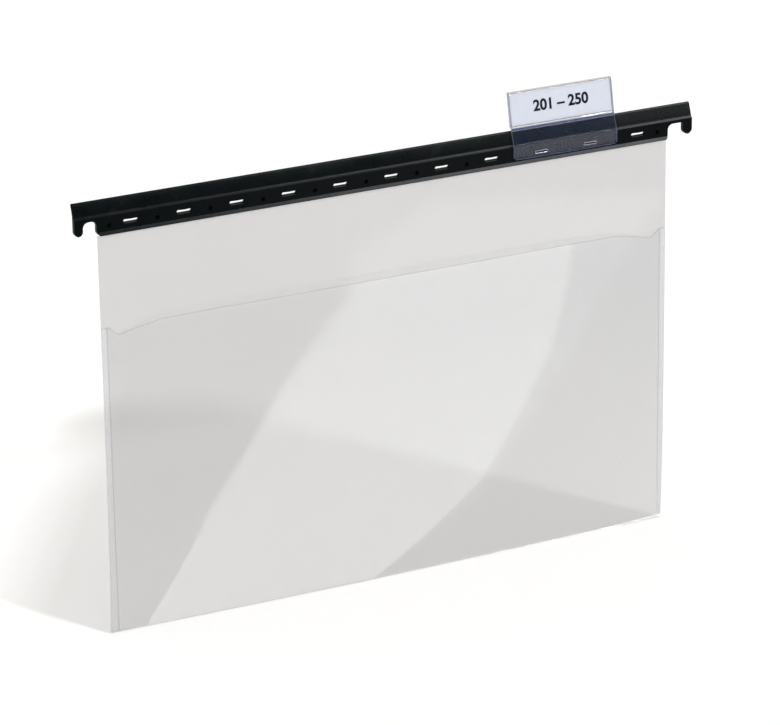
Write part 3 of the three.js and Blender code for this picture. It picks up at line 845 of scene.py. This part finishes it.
def line_light_in_bends(material):
    """Paints light into the label pocket: beige bands of painted light on its solid floor and along its
    roof, darker lines at the floor's top and the roof's lower edge, darker ends, a dense blue line at the
    knee and a painted highlight just under it, each denser than the clear wall.
    """
    tree = material.node_tree
    surface = tree.nodes["Principled BSDF"]
    x, y, z = (along / mm for along in object_place(tree))
    rise = (z - knee_height) * math.cos(pocket_lean) + (y - knee_front) * math.sin(pocket_lean)
    window = rise.math("GREATER_THAN", 0.0)
    roof_line = (y - knee_front) * math.cos(pocket_lean) - (z - knee_height) * math.sin(pocket_lean)
    tint, alpha = surface.inputs["Base Color"].links[0].from_socket, window * -0.035 + 0.06
    for mask, color, density in (
            # Painted light: beige bands on the solid floor and along the roof.
            (rise.math("COMPARE", pocket_floor / 2, pocket_floor / 2), (0.24, 0.21, 0.16), 0.52),
            ((rise - roof_line * roof_slope).math("GREATER_THAN", pocket_rise - 0.2),
             (0.24, 0.21, 0.17), 0.48),
            (rise.math("COMPARE", pocket_floor + 0.1, 0.22), (0.10, 0.10, 0.12), 0.35),
            (rise.math("COMPARE", pocket_rise - 0.1, 0.25), (0.14, 0.13, 0.17), 0.35),
            ((x - tab_middle).math("ABSOLUTE").math("GREATER_THAN", tab_half - 0.5) * window,
             (0.10, 0.10, 0.17), 0.55),
            (rise.math("COMPARE", 0.0, 0.4), (0.01, 0.04, 0.24), 0.9),
            # A painted highlight: a pale line just under the knee.
            (z.math("COMPARE", knee_height - 0.75, 0.15), (0.8, 0.8, 0.9), 0.3)):
        tint = mixed(tree, mask.socket, tint, color)
        alpha = alpha + mask * (alpha * -1 + density)
    tree.links.new(tint, surface.inputs["Base Color"])
    tree.links.new(alpha.socket, surface.inputs["Alpha"])


tab.data.materials.clear()
# The tab_edge and tab_peg_rim colours are painted light that the cut edges gather; the tab_peg colour is
# a painted shade, nearly black and dense.
for name, color, alpha, roughness, gloss in (("clear_tab", (0.03, 0.07, 0.2), 0.06, 0.02, 1.0),
                                             ("tab_edge", (0.22, 0.25, 0.52), 0.8, 0.2, 0.4),
                                             ("tab_peg", (0.002, 0.003, 0.006), 0.75, 0.4, 0.03),
                                             ("tab_peg_rim", (0.25, 0.26, 0.36), 0.8, 0.2, 0.4)):
    tab.data.materials.append(clear_plastic(name, color, alpha, roughness, gloss))
line_light_in_bends(tab.data.materials[0])
# Ends, bottom edge and peg rims get the painted edge light; the pegs' insides get the painted shade.
for face in tab.data.polygons:
    x, y, z = face.center / mm
    if abs(abs(x - tab_middle) - tab_half) < 0.2 or z < -plate_drop + 0.1:
        face.material_index = 1
    elif z < 0.5 and abs(y - plate_front - rim_depth) < 0.02:
        face.material_index = 3
    elif z < 0.5 and y > plate_front + rim_depth and abs(y - front_face) > 0.1:
        face.material_index = 2
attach(tab, "tab")
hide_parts("tab_holder")

# Label card
# A strip of white card, cut a little smaller than the tab's pocket and pushed in from one end. Only the
# pocket's walls hold it.
card_gap, card_end_gap, card_thickness = 0.15, 0.75, 0.3
card_front, card_bottom = pocket_wall + card_gap, pocket_floor + card_gap
card_top = pocket_rise + card_front * roof_slope - wall_up - 2 * card_gap
card_half = tab_half - card_end_gap
card = prism("label_insert", [
    in_pocket(card_bottom, card_front), in_pocket(card_bottom, card_front + card_thickness),
    in_pocket(card_top, card_front + card_thickness), in_pocket(card_top, card_front)], "X",
    tab_middle - card_half, tab_middle + card_half)
ease_edges(card, 0.04)


def card_stock():
    """Smooth white card with a faint fibre mottle."""
    material, tree, surface, texture = new_material("label_paper", 0.12, 3)
    cloud = texture.outputs["Cloud"]
    tint = mixed(tree, ranged(tree, cloud, 0, 1), (0.54, 0.565, 0.64), (0.57, 0.595, 0.67))
    tree.links.new(tint, surface.inputs["Base Color"])
    tree.links.new(ranged(tree, cloud, 0.75, 0.85), surface.inputs["Roughness"])
    bumped(tree, surface, texture.outputs["Grain"], 0.01, 0.4)
    return material


card.data.materials.append(card_stock())
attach(card, "label")
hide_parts("label_card")

# Numbers on the label
# Plain black figures, a number range as an index has. They are printed on the card, so they are a thin
# mesh that lies on its face and rides with it.
lettering = bpy.data.curves.new("numbers", "FONT")
lettering.body = "201 – 250"
lettering.align_x, lettering.align_y = "CENTER", "CENTER"
lettering.size = 7.9 * mm
lettering.offset = 0.27 * mm
lettering.extrude = 0.01 * mm
typed = link("label_numbers_text", lettering)
numbers_mesh = bpy.data.meshes.new_from_object(
    typed.evaluated_get(bpy.context.evaluated_depsgraph_get()))
bpy.data.objects.remove(typed)
numbers = link("label_numbers", numbers_mesh)
numbers_lift, numbers_proud = 0.4, 0.03
centre_y, centre_z = in_pocket((card_bottom + card_top) / 2 + numbers_lift, card_front - numbers_proud)
tilt_back = Matrix.Rotation(math.pi / 2 - pocket_lean, 4, "X")
numbers.data.transform(Matrix.Translation(Vector((tab_middle, centre_y, centre_z)) * mm) @ tilt_back)
ink, ink_tree, ink_surface, ink_texture = new_material("black_ink", 0.08, 1.5)
ink_cloud = ranged(ink_tree, ink_texture.outputs["Cloud"], 0, 1)
ink_tint = mixed(ink_tree, ink_cloud, (0.003, 0.003, 0.006), (0.006, 0.006, 0.010))
ink_tree.links.new(ink_tint, ink_surface.inputs["Base Color"])
ink_surface.inputs["Roughness"].default_value = 0.6
ink_surface.inputs["Specular IOR Level"].default_value = 0.08
numbers.data.materials.append(ink)
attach(numbers, "label")
